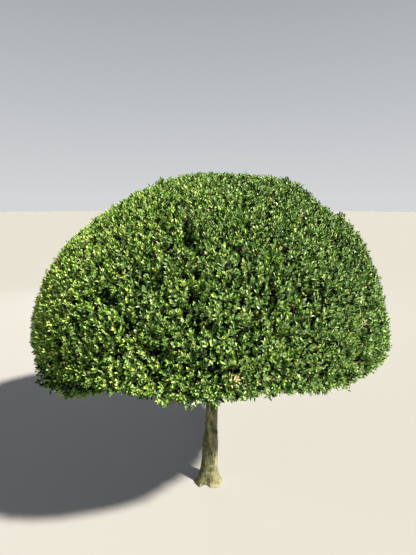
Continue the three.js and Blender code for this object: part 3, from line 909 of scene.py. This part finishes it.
limb_pieces, twig_pieces = [], []
for name, (*thick, twigs, shoots) in zip(MASSES, branches):
    thick = [along_curve(*one) for one in zip(thick, LIMB_STEPS)]
    thin = [along_curve(twigs, TWIG_STEPS), shoots]
    limbs = edge_mesh(f"{name}_limbs", zip(thick, LIMB_RADII))
    twigs = edge_mesh(f"{name}_twigs", zip(thin, TWIG_RADII))
    limb_pieces.append(baked(f"{name}_limbs", limbs, tubes, Sides=LIMB_SIDES, Bark=bark))
    twig_pieces.append(baked(f"{name}_twigs", twigs, tubes, Sides=TWIG_SIDES, Bark=young_bark))
print("faces in the first mass:", len(limb_pieces[0].data.polygons), len(twig_pieces[0].data.polygons))

# %% [markdown]
# ## Leaves on the shoots
# The leaves stand in opposite pairs, and each pair is turned a quarter from the one below. The
# youngest, at the tip, point along the shoot, and older ones open out. Each leaf turns its upper
# face towards the light. Arrays hold one row for each leaf: its foot, the directions of its midrib
# and of its upper face, and its length.

# %% Work out every leaf
PAIRS = 5
PAIR_SPACING = 0.0086
PAIR_SCATTER = 0.3  # of the spacing
FIRST_PAIR = 0.001
LEAF_LENGTH = 0.0225
LEAF_SCATTER = (0.72, 1.12)
TIP_LEAF_SIZE = 0.72
OPEN_AT_TIP = math.radians(20)
OPEN_BELOW = math.radians(55)
OPEN_POWER = 0.6  # they open faster at first
OPEN_SCATTER, TURN_SCATTER, FACE_SCATTER = 0.17, 0.22, 0.33
LIGHT = unit(np.array((0.35, -0.15, 1.0)))
LIGHT_PULL = 0.35
INNER_LEAF_SIZE = 1.95  # leaves in the shade grow larger
INNER_OPEN = math.radians(74)  # and spread flat, so that they face outwards
EDGE_CLEARANCE = 0.01  # large leaves end at least this far above the lower edge
LEAF_REACH = (0.27, 0.16)  # beside the midrib and along the face, as shares of the length
LEAF_ENDS, LEAF_BROADEST = 0.1, 0.6  # reach at foot and tip, and where a leaf is broadest


def tidy_rows(foot, midrib, face, size, shoot, pair):
    """The same rows without leaves that reach out of the box, or large ones below the lower edge."""
    length = size[:, None]
    narrow = LEAF_ENDS * length
    broad = length * (LEAF_REACH[0] * np.abs(np.cross(face, midrib)) + LEAF_REACH[1] * np.abs(face))
    keep = np.ones(len(foot), bool)
    for share, reach in ((0.0, narrow), (LEAF_BROADEST, broad), (1.0, narrow)):
        place = foot + midrib * length * share
        keep &= ((place - reach > cad_low) & (place + reach < cad_high)).all(axis=1)
    tip = foot + midrib * length
    away = tip - CROWN_AXIS
    edge = lower_edge(np.degrees(np.arctan2(away[:, 1], away[:, 0])) % 360)
    keep &= (tip[:, 2] > edge + EDGE_CLEARANCE) | (size < LEAF_LENGTH * LEAF_SCATTER[1])
    return [x[keep] for x in (foot, midrib, face, size, shoot, pair)]


def leaves_of(mass):
    """Foot, midrib, face, length, shoot and pair of every leaf in one mass."""
    random = np.random.default_rng(60 + mass)
    mine = shoot_mass == mass
    along, tips, inner = shoot_aims[mine][:, None], shoot_tips[mine][:, None], is_inner[mine][:, None]
    shoot, pair = np.indices((len(tips), PAIRS))
    back = FIRST_PAIR + PAIR_SPACING * (pair + random.uniform(0, PAIR_SCATTER, pair.shape))
    foot = tips - along * back[..., None]
    side = unit(np.cross(along, random.normal(size=along.shape)))
    other = np.cross(along, side)
    order = pair / (PAIRS - 1)
    turn = random.uniform(0, np.pi, (len(tips), 1)) + pair * np.pi / 2
    rows = []
    for half in (0, np.pi):
        angle = (turn + half + random.normal(0, TURN_SCATTER, turn.shape))[..., None]
        outward = side * np.cos(angle) + other * np.sin(angle)
        opened = np.where(inner, INNER_OPEN, OPEN_AT_TIP + (OPEN_BELOW - OPEN_AT_TIP) * order**OPEN_POWER)
        opened = (opened + random.normal(0, OPEN_SCATTER, turn.shape))[..., None]
        midrib = along * np.cos(opened) + outward * np.sin(opened)
        face = along * np.sin(opened) - outward * np.cos(opened)
        face = face + LIGHT * LIGHT_PULL + random.normal(0, FACE_SCATTER, face.shape)
        face = unit(face - midrib * (face * midrib).sum(axis=2, keepdims=True))
        size = LEAF_LENGTH * random.uniform(*LEAF_SCATTER, turn.shape)
        size *= TIP_LEAF_SIZE + (1 - TIP_LEAF_SIZE) * np.sqrt(order)
        rows.append((foot, midrib, face, size * np.where(inner, INNER_LEAF_SIZE, 1.0), shoot, pair))
    return tidy_rows(*(np.vstack(column).reshape(-1, *column[0].shape[2:]) for column in zip(*rows)))


leaf_rows = [leaves_of(mass) for mass in range(len(MASSES))]
print("leaves:", sum(len(rows[0]) for rows in leaf_rows))

# %% [markdown]
# ## Leaf finishes
# A leaf like this has a thick waxy skin: an even green with a clear but soft shine. Fresh growth is
# yellow-green, old leaves inside are dull, and here and there one turns yellow or dries to straw.
# Painted shade makes leaves darker the deeper they sit, down to a nearly black finish inside, and darker
# under the lower edge at the front left and, partly, on older pairs. Painted light gives the left, front
# and lower side lighter, yellower finishes and the top darker ones, and a painted sheen gives the right
# side more grey-green and pale waxy leaves. Real leaves differ from shoot to shoot far more than across
# one leaf, so each finish is one plain base colour, and the colours are dealt out by shoot.

# %% Leaf materials and how they are dealt out
LEAF_FINISHES = (  # name, colour, roughness, specular
    # nearly black: painted shade for the leaves deep inside
    ("shaded old leaf", "#091504", 0.62, 0.14),
    ("mature leaf", "#325a18", 0.44, 0.32),
    ("green leaf", "#5b8927", 0.42, 0.38),
    ("fresh leaf", "#85a745", 0.44, 0.36),
    ("yellow-green new leaf", "#a7b75c", 0.46, 0.36),
    # these two waxy finishes, dealt out more on the right, also stand for a painted sheen
    ("waxy grey-green leaf", "#688d4b", 0.38, 0.4),
    ("pale waxy leaf", "#9ab074", 0.42, 0.38),
    ("yellow leaf", "#c6bf56", 0.5, 0.4),
    ("dry straw leaf", "#b9ab80", 0.7, 0.2),
)
SHADED_OLD, MATURE, GREEN, FRESH, NEW, WAXY, PALE, YELLOW, DRY = range(len(LEAF_FINISHES))

leaf_materials = []
for name, code, roughness, specular in LEAF_FINISHES:
    sockets = {"Base Color": linear(code), "Roughness": roughness, "Specular IOR Level": specular}
    leaf_materials.append(new_material(name, sockets))
PATCH_SIZE, SPOT_SIZE = 0.22, 0.06
PAINTED_LIGHT_SIDE = unit(np.array((-0.76, -0.48, -0.62)))  # lighter, yellower leaves on the left, front and lower side are painted light
# more grey-green and pale waxy leaves on the right and front side, as painted reflection
PAINTED_SHEEN_SIDE = unit(np.array((0.9, -0.4, -0.1)))
SIDE_PAINTED_LIGHT, PATCH_GROWTH, SPOT_GROWTH = 0.5, 0.09, 0.07  # what makes a shoot's leaves lighter: painted light by side, fresh growth in patches and spots
SHOOT_SCATTER, LEAF_COLOUR_SCATTER = 0.38, 0.72
SHADE_FROM, DEPTH_SHADE, INNER_SHADE = 0.03, 18, 0.6  # and what makes them dark: painted shade deeper in and on inner shoots
PAIR_SHADE, EVEN_PAIR = 0.36, 1.5  # leaves beyond this pair from the tip are darker: older, and partly painted shade
FINISH_STEPS = (-0.95, -0.25, 0.45, 1.05)
WAXY_SHARE, SHEEN_SIDE_SHARE, WAXY_SCATTER = 0.3, 0.45, 0.22
STRAW_SHARE, STRAW_PLACE_SHARE = 0.0008, 0.28
YELLOW_FROM, DRY_FROM = 0.993, 0.9962  # single leaves, of a random number from 0 to 1
# painted shade under the lower edge at the front left
SHADED_PLACES = ((221, 118, 1.3, 13), (232, 135, 0.8, 16))
STRAW_PLACES = ((307, 74, 1.0, 1.3), (312, 75, 1.0, 1.1), (231, 78, 0.6, 1.0))  # like the bulges


def deal_colours(mass):
    """A finish number for each leaf of one mass."""
    random = np.random.default_rng(80 + mass)
    *_, shoot, pair = leaf_rows[mass]
    mine = shoot_mass == mass
    tips, azimuth, polar = shoot_tips[mine], shoot_azimuth[mine], shoot_polar[mine]
    outward = unit(tips - CROWN_AXIS - UP * WIDEST)
    # Each shoot's level: fresh growth at random, painted light by side, and painted shade by depth.
    fresh_and_lit = SIDE_PAINTED_LIGHT * outward @ PAINTED_LIGHT_SIDE + PATCH_GROWTH * waves(tips, PATCH_SIZE, 8)
    fresh_and_lit += SPOT_GROWTH * waves(tips, SPOT_SIZE, 9) + random.normal(0, SHOOT_SCATTER, len(tips))
    fresh_and_lit -= DEPTH_SHADE * np.clip(shoot_inset[mine] - SHADE_FROM, 0, 0.1) + INNER_SHADE * is_inner[mine]
    fresh_and_lit -= bulge(azimuth, polar, SHADED_PLACES)
    level = fresh_and_lit[shoot] + PAIR_SHADE * (EVEN_PAIR - pair)
    level += random.normal(0, LEAF_COLOUR_SCATTER, len(shoot))
    finish = np.digitize(level, FINISH_STEPS)
    # More waxy leaves towards the right and front: painted sheen.
    waxy_and_sheen = WAXY_SHARE + SHEEN_SIDE_SHARE * outward @ PAINTED_SHEEN_SIDE + random.normal(0, WAXY_SCATTER, len(tips))
    has_waxy_sheen = random.random(len(shoot)) < waxy_and_sheen[shoot]
    finish[has_waxy_sheen & np.isin(finish, (MATURE, GREEN))] = WAXY
    finish[has_waxy_sheen & np.isin(finish, (FRESH, NEW))] = PALE
    straw = STRAW_SHARE + STRAW_PLACE_SHARE * bulge(azimuth, polar, STRAW_PLACES)
    straw[is_inner[mine]] = 0
    finish[(random.random(len(tips)) < straw)[shoot]] = DRY
    single = random.random(len(shoot))
    finish[single > YELLOW_FROM] = YELLOW
    finish[single > DRY_FROM] = DRY
    return finish.astype(np.int32)


leaf_finish = [deal_colours(mass) for mass in range(len(MASSES))]
print("leaves of each finish:", np.bincount(np.concatenate(leaf_finish)).tolist())

# %% [markdown]
# ## Leaves as geometry
# One leaf is a small mesh of two bent halves, folded up along its midrib, with a blunt oval outline.
# Geometry Nodes copy it to every foot and turn it so that its midrib and face point as worked out.
# The tree picks the shape of each leaf, plainer deep inside, makes the copies real, and gives each
# its finish.

# %% The leaf tree
LEAF_SHAPES = ((0.31, 0.09, 0.02), (0.34, 0.13, -0.05), (0.27, 0.05, -0.1))  # width, fold, droop
INNER_SHAPE = (0.56, 0.08, 0.0)


def leaf_mesh(number, width, fold, droop, plain=False):
    """A leaf of length 1 along X that faces +Z. A plain one has one corner on each side, not two."""
    places = ((0.55, 0.5, 1.0, 0.0),) if plain else ((0.3, 0.4, 0.7, 0.0), (0.68, 0.5, 1.0, 0.5))
    corners = [(0, 0, 0), (1, 0, droop)]
    for side in (1, -1):
        corners += [(x, side * width * w, fold * f + droop * d) for x, w, f, d in places]
    left = range(2, 2 + len(places))
    right = range(2 + len(places), len(corners))
    mesh = bpy.data.meshes.new(f"leaf_{number}")
    mesh.from_pydata(corners, [], [(0, 1, *reversed(left)), (0, *right, 1)])
    return mesh


shapes = [add_object(f"leaf_{i}", leaf_mesh(i, *shape)) for i, shape in enumerate(LEAF_SHAPES)]
shapes.append(add_object("leaf_inner", leaf_mesh("inner", *INNER_SHAPE, plain=True)))
tree, given = new_tree("leaves on shoots", Width="Float")
carried = (("midrib", "FLOAT_VECTOR"), ("face", "FLOAT_VECTOR"), ("length", "FLOAT"))
midrib, face, length, finish, shape = (
    add_node(tree, "GeometryNodeInputNamedAttribute", {"Name": name}, data_type=kind)
    for name, kind in (*carried, ("finish", "INT"), ("shape", "INT"))
)
axes = {"primary_axis": "X", "secondary_axis": "Z"}
turned = add_node(tree, "FunctionNodeAxesToRotation", {0: midrib, 1: face}, **axes)
wide = add_node(tree, "ShaderNodeMath", {0: length, 1: given["Width"]}, operation="MULTIPLY")
size = add_node(tree, "ShaderNodeCombineXYZ", {"X": length, "Y": wide, "Z": length})
choice = add_node(tree, "GeometryNodeJoinGeometry")
for one in shapes:
    info = add_node(tree, "GeometryNodeObjectInfo", {"Object": one}).outputs["Geometry"]
    whole = add_node(tree, "GeometryNodeGeometryToInstance", {"Geometry": info})
    fill(choice, {"Geometry": whole})
placing = {"Points": given["Geometry"], "Instance": choice, "Rotation": turned, "Scale": size}
picking = {"Pick Instance": True, "Instance Index": shape}
placed = add_node(tree, "GeometryNodeInstanceOnPoints", placing | picking)
made = add_node(tree, "GeometryNodeRealizeInstances", {"Geometry": placed})
for number, material in enumerate(leaf_materials):
    same = {2: finish, 3: number}  # the inputs for whole numbers
    chosen = add_node(tree, "FunctionNodeCompare", same, data_type="INT", operation="EQUAL")
    dress = {"Geometry": made, "Selection": chosen, "Material": material}
    made = add_node(tree, "GeometryNodeSetMaterial", dress)
add_node(tree, "NodeGroupOutput", {"Geometry": made})

leaf_pieces = []
for mass, name in enumerate(MASSES):
    foot, midrib, face, size, shoot, _ = leaf_rows[mass]
    shape = np.random.default_rng(100 + mass).integers(0, len(LEAF_SHAPES), len(foot))
    shape[is_inner[shoot_mass == mass][shoot]] = len(LEAF_SHAPES)
    numbers = {"length": size, "finish": leaf_finish[mass], "shape": shape.astype(np.int32)}
    points = data_mesh(f"{name}_leaves", foot, [], midrib=midrib, face=face, **numbers)
    leaf_pieces.append(baked(f"{name}_leaves", points, tree, Width=1.0))
for shape in shapes:
    bpy.data.objects.remove(shape)
triangles = sum(len(piece.data.loops) - 2 * len(piece.data.polygons) for piece in leaf_pieces)
print("triangles in leaves:", triangles)

# %% [markdown]
# ## Finish every piece
# Each piece rides on the one body, and the solid that it stands for is hidden.

# %% Ride, replace and dress
pieces = [(piece, name, "bark") for piece, name in zip([trunk, *boughs], ["trunk", *BOUGHS])]
for piece, _, _ in pieces:
    piece.data.materials.append(bark)
    piece.data.shade_smooth()
for made, slot in ((limb_pieces, "bark"), (twig_pieces, "bark"), (leaf_pieces, "foliage")):
    pieces += [(piece, name, slot) for piece, name in zip(made, MASSES)]
for piece, name, slot in pieces:
    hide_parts(name)
    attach(piece, "root")

low, high = (np.array(corner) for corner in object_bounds())
print("visual box:", low.round(4), high.round(4))
